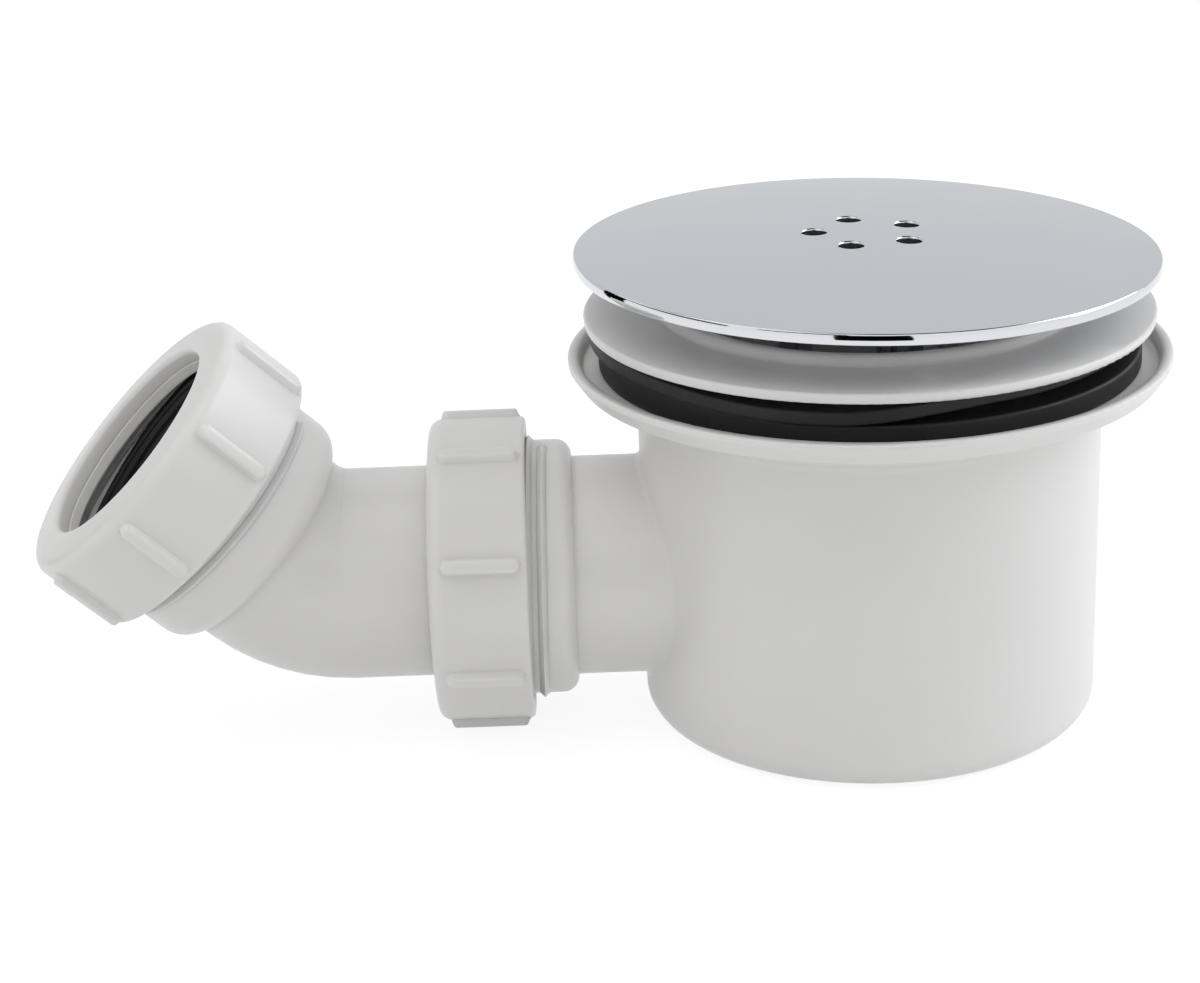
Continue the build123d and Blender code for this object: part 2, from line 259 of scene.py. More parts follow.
def mouldedPolypropylene(look):
    # White polypropylene from a polished mould: soft gloss, faint orange peel, a little light passes through
    material, tree, shader, place = startMaterial("moulded white polypropylene")
    blotch = addNode(tree, "ShaderNodeTexNoise",
                     feeds={"Vector": place, "Scale": perMillimetre(look["blotch"]), "Detail": 2.0})
    tone = addNode(tree, "ShaderNodeMix", {"data_type": "RGBA"},
                   {0: blotch.outputs["Fac"], 6: linearColour(look["body"]), 7: linearColour(look["paler"])})
    patch = addNode(tree, "ShaderNodeTexNoise",
                    feeds={"Vector": place, "Scale": perMillimetre(look["sheenPatch"]), "Detail": 3.0})
    gloss = addNode(tree, "ShaderNodeMapRange",
                    feeds={"Value": patch.outputs["Fac"], "From Min": 0.3, "From Max": 0.7,
                           "To Min": look["roughness"][0], "To Max": look["roughness"][1]})
    peel = addNode(tree, "ShaderNodeTexNoise",
                   feeds={"Vector": place, "Scale": perMillimetre(look["peel"]), "Detail": 1.0})
    relief = addNode(tree, "ShaderNodeBump",
                     feeds={"Height": peel.outputs["Fac"], "Strength": 1.0,
                            "Distance": look["peelDepth"] * mm})
    tree.links.new(tone.outputs[2], shader.inputs["Base Color"])
    tree.links.new(gloss.outputs[0], shader.inputs["Roughness"])
    tree.links.new(relief.outputs[0], shader.inputs["Normal"])
    shader.inputs["IOR"].default_value = 1.49
    shader.inputs["Subsurface Weight"].default_value = look["through"]
    shader.inputs["Subsurface Scale"].default_value = look["reach"] * mm
    shader.inputs["Subsurface Radius"].default_value = look["reachTint"]
    return material


polyethyleneLook = {
    "body": "#e6e5e1", "duller": "#dbdad5", "streak": 6.0,
    "roughness": 0.5, "grain": 0.5, "depth": 0.008,
}


def waxyPolyethylene(look):
    # Milky polyethylene: waxy and matt, a little uneven in tone
    material, tree, shader, place = startMaterial("waxy white polyethylene")
    streak = addNode(tree, "ShaderNodeTexNoise",
                     feeds={"Vector": place, "Scale": perMillimetre(look["streak"]), "Detail": 3.0})
    tone = addNode(tree, "ShaderNodeMix", {"data_type": "RGBA"},
                   {0: streak.outputs["Fac"],
                    6: linearColour(look["body"]), 7: linearColour(look["duller"])})
    grain = addNode(tree, "ShaderNodeTexNoise",
                    feeds={"Vector": place, "Scale": perMillimetre(look["grain"]), "Detail": 2.0})
    relief = addNode(tree, "ShaderNodeBump",
                     feeds={"Height": grain.outputs["Fac"], "Strength": 1.0, "Distance": look["depth"] * mm})
    tree.links.new(tone.outputs[2], shader.inputs["Base Color"])
    tree.links.new(relief.outputs[0], shader.inputs["Normal"])
    shader.inputs["Roughness"].default_value = look["roughness"]
    shader.inputs["IOR"].default_value = 1.51
    return material


rubberLook = {
    "body": "#0d0d0e", "bloom": "#18181a", "patch": 9.0,
    "roughness": (0.46, 0.62), "grain": 0.45, "grainDepth": 0.02,
}


def mouldedRubber(look):
    # Black moulded rubber: a soft sheen, a fine grain and a faint grey bloom
    material, tree, shader, place = startMaterial("moulded black rubber")
    bloom = addNode(tree, "ShaderNodeTexNoise",
                    feeds={"Vector": place, "Scale": perMillimetre(look["patch"]), "Detail": 4.0})
    tone = addNode(tree, "ShaderNodeMix", {"data_type": "RGBA"},
                   {0: bloom.outputs["Fac"], 6: linearColour(look["body"]), 7: linearColour(look["bloom"])})
    dullness = addNode(tree, "ShaderNodeMapRange",
                       feeds={"Value": bloom.outputs["Fac"], "From Min": 0.3, "From Max": 0.7,
                              "To Min": look["roughness"][0], "To Max": look["roughness"][1]})
    grain = addNode(tree, "ShaderNodeTexNoise",
                    feeds={"Vector": place, "Scale": perMillimetre(look["grain"]), "Detail": 2.0})
    relief = addNode(tree, "ShaderNodeBump",
                     feeds={"Height": grain.outputs["Fac"], "Strength": 1.0,
                            "Distance": look["grainDepth"] * mm})
    tree.links.new(tone.outputs[2], shader.inputs["Base Color"])
    tree.links.new(dullness.outputs[0], shader.inputs["Roughness"])
    tree.links.new(relief.outputs[0], shader.inputs["Normal"])
    shader.inputs["IOR"].default_value = 1.45
    return material


chromeLook = {
    "plate": "#dddfe3", "haze": "#d8dade", "patch": 26.0,
    "roughness": (0.035, 0.07), "ripple": 14.0, "rippleDepth": 0.004,
}


def polishedChrome(look):
    # Bright chrome plate on moulded plastic: a mirror with a faint ripple and a trace of haze
    material, tree, shader, place = startMaterial("polished chrome plate")
    haze = addNode(tree, "ShaderNodeTexNoise",
                   feeds={"Vector": place, "Scale": perMillimetre(look["patch"]), "Detail": 3.0})
    tone = addNode(tree, "ShaderNodeMix", {"data_type": "RGBA"},
                   {0: haze.outputs["Fac"], 6: linearColour(look["plate"]), 7: linearColour(look["haze"])})
    polish = addNode(tree, "ShaderNodeMapRange",
                     feeds={"Value": haze.outputs["Fac"], "From Min": 0.3, "From Max": 0.7,
                            "To Min": look["roughness"][0], "To Max": look["roughness"][1]})
    ripple = addNode(tree, "ShaderNodeTexNoise",
                     feeds={"Vector": place, "Scale": perMillimetre(look["ripple"]), "Detail": 1.0})
    relief = addNode(tree, "ShaderNodeBump",
                     feeds={"Height": ripple.outputs["Fac"], "Strength": 1.0,
                            "Distance": look["rippleDepth"] * mm})
    tree.links.new(tone.outputs[2], shader.inputs["Base Color"])
    tree.links.new(polish.outputs[0], shader.inputs["Roughness"])
    tree.links.new(relief.outputs[0], shader.inputs["Normal"])
    shader.inputs["Metallic"].default_value = 1.0
    return material


# Painted shade for the walls inside the cover's holes
holeShadeLook = {"tone": "#58595c", "roughness": 0.5}


def paintedHoleShade(look):
    # Painted shade: the walls inside the holes get a dark, dull metal so that they read as shadowed
    material, _, shader, _ = startMaterial("painted shade in holes")
    shader.inputs["Base Color"].default_value = linearColour(look["tone"])
    shader.inputs["Roughness"].default_value = look["roughness"]
    shader.inputs["Metallic"].default_value = 1.0
    return material


whitePlastic = mouldedPolypropylene(polypropyleneLook)
slipPlastic = waxyPolyethylene(polyethyleneLook)
blackRubber = mouldedRubber(rubberLook)
chrome = polishedChrome(chromeLook)
holeShadePlate = paintedHoleShade(holeShadeLook)
finishOf = {
    "white_plastic": whitePlastic, "slip_plastic": slipPlastic,
    "black_rubber": blackRubber, "chrome_plate": chrome,
}
print("materials made:", len(finishOf))


# Axes of the outlet and of the elbow's leg, from the frame

outletJoint = joints["outlet_nut_turn"]
legJoint = joints["elbow_nut_turn"]
outletAxis = Vector(outletJoint["axis"]).normalized()
legAxis = Vector(legJoint["axis"]).normalized()
outletFrame = axisFrame(Vector(outletJoint["pos_m"]), outletAxis, Vector((0, 1, 0)))
legFrame = axisFrame(Vector(legJoint["pos_m"]), legAxis, outletAxis.cross(legAxis).normalized())


# Screw threads: a V ridge that follows a helix

threadSizes = ("Root", "Ridge", "Pitch", "Turns", "Fade", "Steps")
threadSteps = 96  # points on each turn of a helix


def threadTree():
    tree, sizes = startTree("screw thread", threadSizes)
    height = addNode(tree, "ShaderNodeMath", {"operation": "MULTIPLY"},
                     {0: sizes["Pitch"], 1: sizes["Turns"]})
    helix = addNode(tree, "GeometryNodeCurveSpiral",
                    feeds={"Resolution": sizes["Steps"], "Rotations": sizes["Turns"],
                           "Start Radius": sizes["Root"], "End Radius": sizes["Root"],
                           "Height": height.outputs[0]})
    upright = addNode(tree, "GeometryNodeSetCurveNormal", {"mode": "Z_UP"}, {"Curve": helix.outputs[0]})
    run = addNode(tree, "GeometryNodeSplineParameter").outputs["Factor"]
    nearEnd = addNode(tree, "ShaderNodeMath", {"operation": "PINGPONG"}, {0: run, 1: 0.5})
    swell = addNode(tree, "ShaderNodeMapRange", {"interpolation_type": "SMOOTHSTEP"},
                    {"Value": nearEnd.outputs[0], "From Max": sizes["Fade"], "To Min": 0.02})
    tapered = addNode(tree, "GeometryNodeSetCurveRadius",
                      feeds={"Curve": upright.outputs[0], "Radius": swell.outputs[0]})
    section = addNode(tree, "GeometryNodeCurvePrimitiveCircle", {"mode": "RADIUS"},
                      {"Resolution": 4, "Radius": sizes["Ridge"]})
    ridge = addNode(tree, "GeometryNodeCurveToMesh",
                    feeds={"Curve": tapered.outputs[0], "Profile Curve": section.outputs[0],
                           "Fill Caps": True})
    endTree(tree, sizes, ridge.outputs[0])
    return tree


threadMaker = threadTree()


def threadMesh(name, spec, low, high, place):
    # A thread between two heights of an axis frame
    values = {"Root": spec["root"] * mm, "Ridge": spec["ridge"] * mm, "Pitch": spec["pitch"] * mm,
              "Turns": (high - low) / spec["pitch"], "Fade": spec["fade"], "Steps": threadSteps,
              "Material": whitePlastic}
    mesh = grow(name, bpy.data.meshes.new(name), threadMaker, values)
    mesh.transform(place @ Matrix.Translation((0, 0, low * mm)))
    return mesh


# Trap body: the CAD solid merged and smoothed, with its outlet thread and the thread inside its neck

bodyThread = {
    "root": 25.75, "ridge": 1.0, "pitch": 3.0, "fade": 0.03, "fromNutBack": -3.4, "shortOfEnd": 1.2,
}
neckThread = {"root": 43.5, "ridge": 0.75, "pitch": 3.0, "fade": 0.05, "low": 57.5, "high": 71.0}


def buildTrapBody():
    nutBack = reachAlong("outlet_nut", outletFrame)[0]
    socketEnd = reachAlong("trap_body", outletFrame)[1]
    outletThread = threadMesh("outletThread", bodyThread, nutBack + bodyThread["fromNutBack"],
                              socketEnd - bodyThread["shortOfEnd"], outletFrame)
    neck = threadMesh("neckThread", neckThread, neckThread["low"], neckThread["high"], Matrix.Identity(4))
    mesh = joinMeshes("trapBody", [solidCopy("trap_body"), outletThread, neck])
    return showPiece("trapBody", mesh, whitePlastic, "trap_body")


buildTrapBody()
print("trap body made")


# Compression nuts: a turned shell whose ribs are raised by a tree

nutSpec = {
    "radius": 30.6, "threadRadius": 27.0, "mouth": 21.9, "lip": 3.2,
    "frontRounding": 2.6, "frontCone": 0.8, "backRounding": 0.8, "mouthRounding": 1.0, "innerRounding": 0.5,
    "ribs": 8, "ribHeight": 1.7, "ribWidth": 3.5, "ribLength": 16.3, "ribBackMargin": 0.95, "ribSoft": 0.35,
    "ribPhase": 22.5, "ribCrown": 3.5, "elbowTurn": -20.6,
    "step": 0.45, "ribSteps": 22, "gapSteps": 14, "ribZone": 2.6,
}
nutThread = {"root": 27.0, "ridge": 0.75, "pitch": 3.0, "fade": 0.05, "inset": 1.5, "clearOfLip": 5.0}
ribSizes = ("Count", "Height", "Width", "Length", "Middle", "Phase", "Soft", "Outside")


def ribTree():
    tree, sizes = startTree("nut ribs", ribSizes)
    here = addNode(tree, "GeometryNodeInputPosition").outputs[0]
    spot = addNode(tree, "ShaderNodeSeparateXYZ", feeds={0: here}).outputs

    def reckon(operation, *feeds):
        return addNode(tree, "ShaderNodeMath", {"operation": operation}, dict(enumerate(feeds))).outputs[0]

    angle = reckon("SUBTRACT", reckon("ARCTAN2", spot["Y"], spot["X"]), sizes["Phase"])
    half = reckon("DIVIDE", math.pi, sizes["Count"])
    fromRib = reckon("WRAP", angle, half, reckon("MULTIPLY", half, -1.0))
    radius = reckon("SQRT", reckon("ADD", reckon("POWER", spot["X"], 2.0), reckon("POWER", spot["Y"], 2.0)))
    across = reckon("MULTIPLY", fromRib, radius)
    straight = reckon("MULTIPLY", reckon("SUBTRACT", sizes["Length"], sizes["Width"]), 0.5)
    fromMiddle = reckon("ABSOLUTE", reckon("SUBTRACT", spot["Z"], sizes["Middle"]))
    past = reckon("MAXIMUM", reckon("SUBTRACT", fromMiddle, straight), 0.0)
    away = reckon("SQRT", reckon("ADD", reckon("POWER", across, 2.0), reckon("POWER", past, 2.0)))
    share = reckon("MINIMUM", reckon("DIVIDE", away, reckon("MULTIPLY", sizes["Width"], 0.5)), 1.0)
    crown = reckon("SQRT", reckon("SUBTRACT", 1.0, reckon("POWER", share, nutSpec["ribCrown"])))
    foot = addNode(tree, "ShaderNodeMapRange", {"interpolation_type": "SMOOTHSTEP"},
                   {"Value": reckon("SUBTRACT", 1.0, share), "From Max": sizes["Soft"]}).outputs[0]
    isOutside = reckon("GREATER_THAN", radius, sizes["Outside"])
    shape = reckon("MULTIPLY", reckon("MULTIPLY", crown, foot), sizes["Height"])
    lift = reckon("DIVIDE", reckon("MULTIPLY", shape, isOutside), radius)
    offset = addNode(tree, "ShaderNodeCombineXYZ",
                     feeds={"X": reckon("MULTIPLY", spot["X"], lift),
                            "Y": reckon("MULTIPLY", spot["Y"], lift)})
    raised = addNode(tree, "GeometryNodeSetPosition",
                     feeds={"Geometry": sizes["Geometry"], "Offset": offset.outputs[0]})
    endTree(tree, sizes, raised.outputs[0])
    return tree


ribMaker = ribTree()


def ribAngles(spec):
    # Fine steps across each rib and wider ones between
    sector = math.tau / spec["ribs"]
    zone = spec["ribZone"] / spec["radius"]
    offsets = [-zone + 2 * zone * k / spec["ribSteps"] for k in range(spec["ribSteps"])]
    offsets += [zone + (sector - 2 * zone) * k / spec["gapSteps"] for k in range(spec["gapSteps"])]
    starts = [math.radians(spec["ribPhase"]) + sector * rib for rib in range(spec["ribs"])]
    return [start + offset for start in starts for offset in offsets]


def buildNut(name, node, place, turn):
    spec = nutSpec
    back, front = reachAlong(node, place)
    outline = roundedOutline([
        (spec["threadRadius"], back, spec["innerRounding"]),
        (spec["radius"], back, spec["backRounding"]),
        (spec["radius"], front - spec["frontCone"], spec["frontRounding"]),
        (spec["mouth"], front, spec["mouthRounding"]),
        (spec["mouth"], front - spec["lip"], 0),
        (spec["threadRadius"], front - spec["lip"], 0),
    ], spec["step"])
    shell = ringMesh(name, outline, ribAngles(spec))
    values = {"Count": spec["ribs"], "Height": spec["ribHeight"] * mm, "Width": spec["ribWidth"] * mm,
              "Length": spec["ribLength"] * mm, "Soft": spec["ribSoft"],
              "Phase": math.radians(spec["ribPhase"]),
              "Middle": (back + spec["ribBackMargin"] + spec["ribLength"] / 2) * mm,
              "Outside": (spec["radius"] - spec["frontRounding"] / 2) * mm, "Material": whitePlastic}
    ribbed = grow(name, shell, ribMaker, values)
    ribbed.transform(place @ Matrix.Rotation(math.radians(turn), 4, "Z"))
    low = back + bodyThread["fromNutBack"] + bodyThread["pitch"] / 2
    while low < back + nutThread["inset"]:
        low += nutThread["pitch"]
    inside = threadMesh(name + "Thread", nutThread, low, front - nutThread["clearOfLip"], place)
    return showPiece(name, joinMeshes(name, [ribbed, inside]), whitePlastic, node)


buildNut("outletNut", "outlet_nut", outletFrame, 0.0)
buildNut("elbowNut", "elbow_nut", legFrame, nutSpec["elbowTurn"])
print("compression nuts made")


# Elbow: the CAD solid merged and smoothed, with the thread of its socket

def buildElbow():
    nutBack = reachAlong("elbow_nut", legFrame)[0]
    socketEnd = reachAlong("elbow", legFrame)[1]
    legThread = threadMesh("legThread", bodyThread, nutBack + bodyThread["fromNutBack"],
                           socketEnd - bodyThread["shortOfEnd"], legFrame)
    return showPiece("elbow", joinMeshes("elbow", [solidCopy("elbow"), legThread]), whitePlastic, "elbow")


buildElbow()
print("elbow made")


# Rubber seals: the lower ring lies flat, the upper one is soft and sags on one side

lowerSealSpec = {
    "radius": 53.49, "hole": 45.2, "rounding": 0.6, "step": 0.7, "turns": 240,
    "highSide": 198.0, "swell": 1.7, "swellHalf": 10.0, "swellFade": 45.0,
}
upperSealSpec = {
    "radius": 54.0, "hole": 46.0, "thickness": 2.7, "rounding": 0.45, "step": 0.7, "turns": 240,
    "lowSide": 190.0, "shift": 1.3, "rest": 0.1, "hang": 2.6, "sagHalf": 68.0, "riseSpan": 36.0,
    "waver": 0.12, "waves": 7,
}


def smoothShare(value):
    # 0 to 1 with soft ends
    share = min(max(value, 0), 1)
    return share * share * (3 - 2 * share)


def swellAt(angle):
    # How far the lower ring stands proud, on the side where nothing presses it down
    spec = lowerSealSpec
    away = abs(math.degrees(math.remainder(angle - math.radians(spec["highSide"]), math.tau)))
    return spec["swell"] * smoothShare(1 - (away - spec["swellHalf"]) / spec["swellFade"])


def buildLowerSeal():
    spec = lowerSealSpec
    low, high = (corner.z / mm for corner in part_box("lower_seal"))
    outline = roundedOutline([
        (spec["hole"], low, spec["rounding"]), (spec["radius"], low, spec["rounding"]),
        (spec["radius"], high, spec["rounding"]), (spec["hole"], high, spec["rounding"]),
    ], spec["step"])

    def rise(place, angle):
        return place + Vector((0, 0, swellAt(angle) * (place.z - low) / (high - low)))

    mesh = ringMesh("lowerSeal", outline, evenAngles(spec["turns"]), rise)
    return showPiece("lowerSeal", mesh, blackRubber, "lower_seal")


def buildUpperSeal():
    spec = upperSealSpec
    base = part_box("lower_seal")[1].z / mm + spec["rest"]
    crest = base + spec["thickness"]
    outline = roundedOutline([
        (spec["hole"], base, spec["rounding"]), (spec["radius"], base, spec["rounding"]),
        (spec["radius"], crest, spec["rounding"]), (spec["hole"], crest, spec["rounding"]),
    ], spec["step"])
    lowSide = math.radians(spec["lowSide"])
    slip = Vector((math.cos(lowSide), math.sin(lowSide), 0)) * spec["shift"]

    def drape(place, angle):
        # The ring lies on the one below round its low side and is held up under the flange elsewhere
        away = abs(math.degrees(math.remainder(angle - lowSide, math.tau)))
        share = smoothShare((away - spec["sagHalf"]) / spec["riseSpan"])
        lift = swellAt(angle) + spec["hang"] * share
        waver = spec["waver"] * share * math.sin(angle * spec["waves"])
        return place + slip + Vector((0, 0, lift + waver))

    mesh = ringMesh("upperSeal", outline, evenAngles(spec["turns"]), drape)
    return showPiece("upperSeal", mesh, blackRubber, "upper_seal")


buildLowerSeal()
buildUpperSeal()
print("rubber seals made")


# Waste flange: the CAD solid merged and smoothed, with the thread of its tail

tailThread = {"root": 42.4, "ridge": 0.8, "pitch": 3.0, "fade": 0.05, "aboveBottom": 1.5, "belowWeb": 5.5}


def buildFlange():
    low, high = (corner.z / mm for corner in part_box("waste_flange"))
    start = neckThread["low"] + neckThread["pitch"] / 2
    while start < low + tailThread["aboveBottom"]:
        start += tailThread["pitch"]
    thread = threadMesh("tailThread", tailThread, start, high - tailThread["belowWeb"], Matrix.Identity(4))
    mesh = joinMeshes("wasteFlange", [solidCopy("waste_flange"), thread])
    return showPiece("wasteFlange", mesh, whitePlastic, "waste_flange")


buildFlange()
print("waste flange made")


# Cover: one wedge of the dome with its hole and leg, repeated round by a tree

coverSpec = {
    "radius": 57.5, "bottom": 93.555, "edge": 2.25, "bulge": 0.3, "corner": 0.3,
    "dome": 3.5, "wall": 2.2, "skirt": 2.0,
    "tilt": 1.3, "highSide": 200.0, "shift": -0.5,
    "holes": 5, "holeRadius": 2.5, "holeCircle": 10.1, "holeRounding": 0.45, "firstHole": 176.1,
    "cellInner": 5.0, "cellOuter": 15.2, "columns": 32, "sideRows": 16, "cellRings": 9,
    "ringStep": 2.4, "edgeSteps": 10, "edgeStep": 0.25, "mouthSteps": 6, "cellEase": 1.5, "weld": 0.004,
    "legThickness": 2.4, "legInner": 13.6, "legOuter": 36.45, "legSeat": 82.48, "legFunnel": 33.15,
    "legCone": 74.28, "legPlug": 19.7, "legEnd": 67.28, "legTaper": 2.5, "legRounding": 0.35,
}


def domeHeight(peak, rise, reach, radius):
    # Height of a shallow dome at a distance from its axis
    ball = (reach * reach + rise * rise) / (2 * rise)
    return peak - ball + math.sqrt(ball * ball - radius * radius)


def coverWedge(spec):
    bm = bmesh.new()
    span = spec["radius"] - spec["bulge"]
    skirt = spec["radius"] - spec["skirt"]
    bottom = spec["bottom"]
    shoulder = bottom + spec["edge"]
    top = shoulder + spec["dome"]
    underRise = top - spec["wall"] - bottom
    sector = math.tau / spec["holes"]
    columns = [sector * (k / spec["columns"] - 0.5) for k in range(spec["columns"] + 1)]

    def over(radius):
        return domeHeight(top, spec["dome"], span, radius)

    def under(radius):
        return domeHeight(top - spec["wall"], underRise, skirt, radius)

    def strip(rows, closed=False):
        # Quads between neighbouring rows of points
        made = [[bm.verts.new(point * mm) for point in row] for row in rows]
        for lower, upper in zip(made, made[1:]):
            last = len(lower) if closed else len(lower) - 1
            for k in range(last):
                after = (k + 1) % len(lower)
                bm.faces.new((lower[k], lower[after], upper[after], upper[k]))

    def arcRow(radius, height):
        return [Vector((radius * math.cos(a), radius * math.sin(a), height)) for a in columns]

    # From the cell of the hole out to the edge, round it and back underneath
    outward = max(2, round((span - spec["cellOuter"]) / spec["ringStep"]))
    radii = [spec["cellOuter"] + (span - spec["cellOuter"]) * k / outward for k in range(outward)]
    rows = [arcRow(r, over(r)) for r in radii]
    halfEdge = spec["edge"] / 2
    bandRadius = (halfEdge ** 2 + spec["bulge"] ** 2) / (2 * spec["bulge"])
    halfSwing = math.asin(halfEdge / bandRadius)
    swings = [halfSwing * (1 - 2 * k / spec["edgeSteps"]) for k in range(1, spec["edgeSteps"])]
    bandMiddle = spec["radius"] - bandRadius
    band = [(bandMiddle + bandRadius * math.cos(s), bottom + halfEdge + bandRadius * math.sin(s), 0)
            for s in swings]
    corners = [(radii[-1], over(radii[-1]), 0), (span, shoulder, spec["corner"])]
    corners += band + [(span, bottom, spec["corner"]), (skirt, bottom, 0)]
    section = roundedOutline(corners, spec["edgeStep"])
    rows += [arcRow(r, z) for r, z in section[1:section.index(Vector((skirt, bottom)))]]
    inward = [skirt - (skirt - spec["cellOuter"]) * k / outward for k in range(outward + 1)]
    rows += [arcRow(r, under(r)) for r in inward]
    strip(rows)

    # The middle inside the cells, above and below
    for height in (over, under):
        hubRadius = 0.5 * spec["cellInner"]
        strip([arcRow(r, height(r)) for r in (hubRadius, spec["cellInner"])])
        hub = bm.verts.new(Vector((0, 0, height(0))) * mm)
        rim = [bm.verts.new(point * mm) for point in arcRow(hubRadius, height(hubRadius))]
        for one, other in zip(rim, rim[1:]):
            bm.faces.new((hub, one, other))

    # The cell itself: rings that pass from its border to the hole
    cellSpan = spec["cellOuter"] - spec["cellInner"]
    sideRadii = [spec["cellInner"] + cellSpan * k / spec["sideRows"] for k in range(spec["sideRows"] + 1)]
    border = [(spec["cellInner"], a) for a in columns[:-1]]
    border += [(r, columns[-1]) for r in sideRadii[:-1]]
    border += [(spec["cellOuter"], a) for a in reversed(columns[1:])]
    border += [(r, columns[0]) for r in reversed(sideRadii[1:])]
    edge = [Vector((r * math.cos(a), r * math.sin(a))) for r, a in border]
    centre = Vector((spec["holeCircle"], 0))
    rays = [(point - centre).normalized() for point in edge]

    def cellRow(share, radius, height):
        flat = [(centre + ray * radius).lerp(point, share) for ray, point in zip(rays, edge)]
        return [Vector((p.x, p.y, height(p.length))) for p in flat]

    rounding = spec["holeRounding"]
    mouth = spec["holeRadius"] + rounding
    shares = [1 - k / spec["cellRings"] for k in range(spec["cellRings"] + 1)]
    rows = [cellRow(share ** spec["cellEase"], mouth, over) for share in shares]
    for k in range(1, spec["mouthSteps"] + 1):
        swing = math.pi / 2 * k / spec["mouthSteps"]
        drop = rounding * (1 - math.cos(swing))
        rows.append(cellRow(0, mouth - rounding * math.sin(swing), lambda r, drop=drop: over(r) - drop))
    rows.append(cellRow(0, spec["holeRadius"], under))
    rows += [cellRow(share ** spec["cellEase"], spec["holeRadius"], under)
             for share in reversed(shares[:-1])]
    strip(rows, closed=True)
    bmesh.ops.remove_doubles(bm, verts=bm.verts, dist=mergeDistance * 4)
    bmesh.ops.recalc_face_normals(bm, faces=bm.faces)

    # The leg: a flat plate that stands in the flange's throat, half a sector from the hole
    outline = [
        (spec["legInner"], over(spec["legInner"]) - spec["wall"] / 2),
        (spec["legOuter"], over(spec["legOuter"]) - spec["wall"] / 2),
        (spec["legOuter"], spec["legSeat"]), (spec["legFunnel"], spec["legSeat"]),
        (spec["legPlug"], spec["legCone"]), (spec["legPlug"], spec["legEnd"] + spec["legTaper"]),
        (spec["legPlug"] - spec["legTaper"] / 2, spec["legEnd"]), (spec["legInner"], spec["legEnd"]),
    ]
    halfTurn = Matrix.Rotation(sector / 2, 3, "Z")
    faces = []
    for side in (-0.5, 0.5):
        corners = [halfTurn @ Vector((r, side * spec["legThickness"], z)) * mm for r, z in outline]
        faces.append(bm.faces.new([bm.verts.new(corner) for corner in corners]))
    near, far = (list(face.verts) for face in faces)
    for k in range(len(near)):
        after = (k + 1) % len(near)
        faces.append(bm.faces.new((near[k], near[after], far[after], far[k])))
    bmesh.ops.recalc_face_normals(bm, faces=faces)
    rims = list({one for face in faces for one in face.edges})
    bmesh.ops.bevel(bm, geom=rims, offset=spec["legRounding"] * mm, segments=3, profile=0.5, affect="EDGES")
    mesh = bpy.data.meshes.new("coverWedge")
    bm.to_mesh(mesh)
    bm.free()
    return mesh


def wedgeTree():
    tree, sizes = startTree("cover wedges", ("Count", "Phase", "Weld"))
    seeds = addNode(tree, "GeometryNodePoints", feeds={"Count": sizes["Count"]})
    sector = addNode(tree, "ShaderNodeMath", {"operation": "DIVIDE"}, {0: math.tau, 1: sizes["Count"]})
    which = addNode(tree, "GeometryNodeInputIndex").outputs[0]
    turn = addNode(tree, "ShaderNodeMath", {"operation": "MULTIPLY_ADD"},
                   {0: which, 1: sector.outputs[0], 2: sizes["Phase"]})
    spin = addNode(tree, "ShaderNodeCombineXYZ", feeds={"Z": turn.outputs[0]})
    copies = addNode(tree, "GeometryNodeInstanceOnPoints",
                     feeds={"Points": seeds.outputs[0], "Instance": sizes["Geometry"],
                            "Rotation": spin.outputs[0]})
    plain = addNode(tree, "GeometryNodeRealizeInstances", feeds={"Geometry": copies.outputs[0]})
    welded = addNode(tree, "GeometryNodeMergeByDistance",
                     feeds={"Geometry": plain.outputs[0], "Distance": sizes["Weld"]})
    endTree(tree, sizes, welded.outputs[0])
    return tree


def buildCover():
    spec = coverSpec
    values = {"Count": spec["holes"], "Phase": math.radians(spec["firstHole"]),
              "Weld": spec["weld"] * mm, "Material": chrome}
    mesh = grow("topCover", coverWedge(spec), wedgeTree(), values)
    pivot = Matrix.Translation((0, 0, spec["bottom"] * mm))
    toHighSide = Matrix.Rotation(math.radians(spec["highSide"]), 4, "Z")
    lean = toHighSide @ Matrix.Rotation(math.radians(-spec["tilt"]), 4, "Y") @ toHighSide.inverted()
    aside = Matrix.Translation((spec["shift"] * mm, 0, 0))
    top = spec["bottom"] + spec["edge"] + spec["dome"]
    span = spec["radius"] - spec["bulge"]
    # Faces inside the holes, which take the painted shade
    holeShadeFaces = []
    for face in mesh.polygons:
        spot = face.center / mm
        out = spot.xy.length
        depth = domeHeight(top, spec["dome"], span, out) - spot.z
        byHole = abs(out - spec["holeCircle"]) < spec["holeRadius"] + spec["holeRounding"]
        holeShadeFaces.append(int(byHole and depth > spec["holeRounding"]))
    mesh.transform(aside @ pivot @ lean @ pivot.inverted())
    piece = showPiece("topCover", mesh, chrome, "top_cover", sharpAngle=50)
    # The second material paints shade on the faces inside the holes
    mesh.materials.append(holeShadePlate)
    mesh.polygons.foreach_set("material_index", holeShadeFaces)
    return piece


buildCover()
print("cover made")


# Slip rings and cone seals inside the two nuts

slipSpec = {"inner": 21.8, "outer": 26.55, "rounding": 0.5, "step": 0.5, "turns": 192}


def buildSlipRing(name, node, place):
    spec = slipSpec
    low, high = reachAlong(node, place)
    outline = roundedOutline([
        (spec["inner"], low, spec["rounding"]), (spec["outer"], low, spec["rounding"]),
        (spec["outer"], high, spec["rounding"]), (spec["inner"], high, spec["rounding"]),
    ], spec["step"])
    mesh = ringMesh(name, outline, evenAngles(spec["turns"]))
    mesh.transform(place)
    return showPiece(name, mesh, slipPlastic, node)


coneSpec = {
    "inner": 21.75, "narrow": 22.7, "wide": 25.2, "rounding": 0.5, "tipRounding": 0.3,
    "step": 0.3, "turns": 192, "grooves": 3, "grooveDepth": 0.4, "grooveRounding": 0.25,
    "elbowLean": 3.8,
}


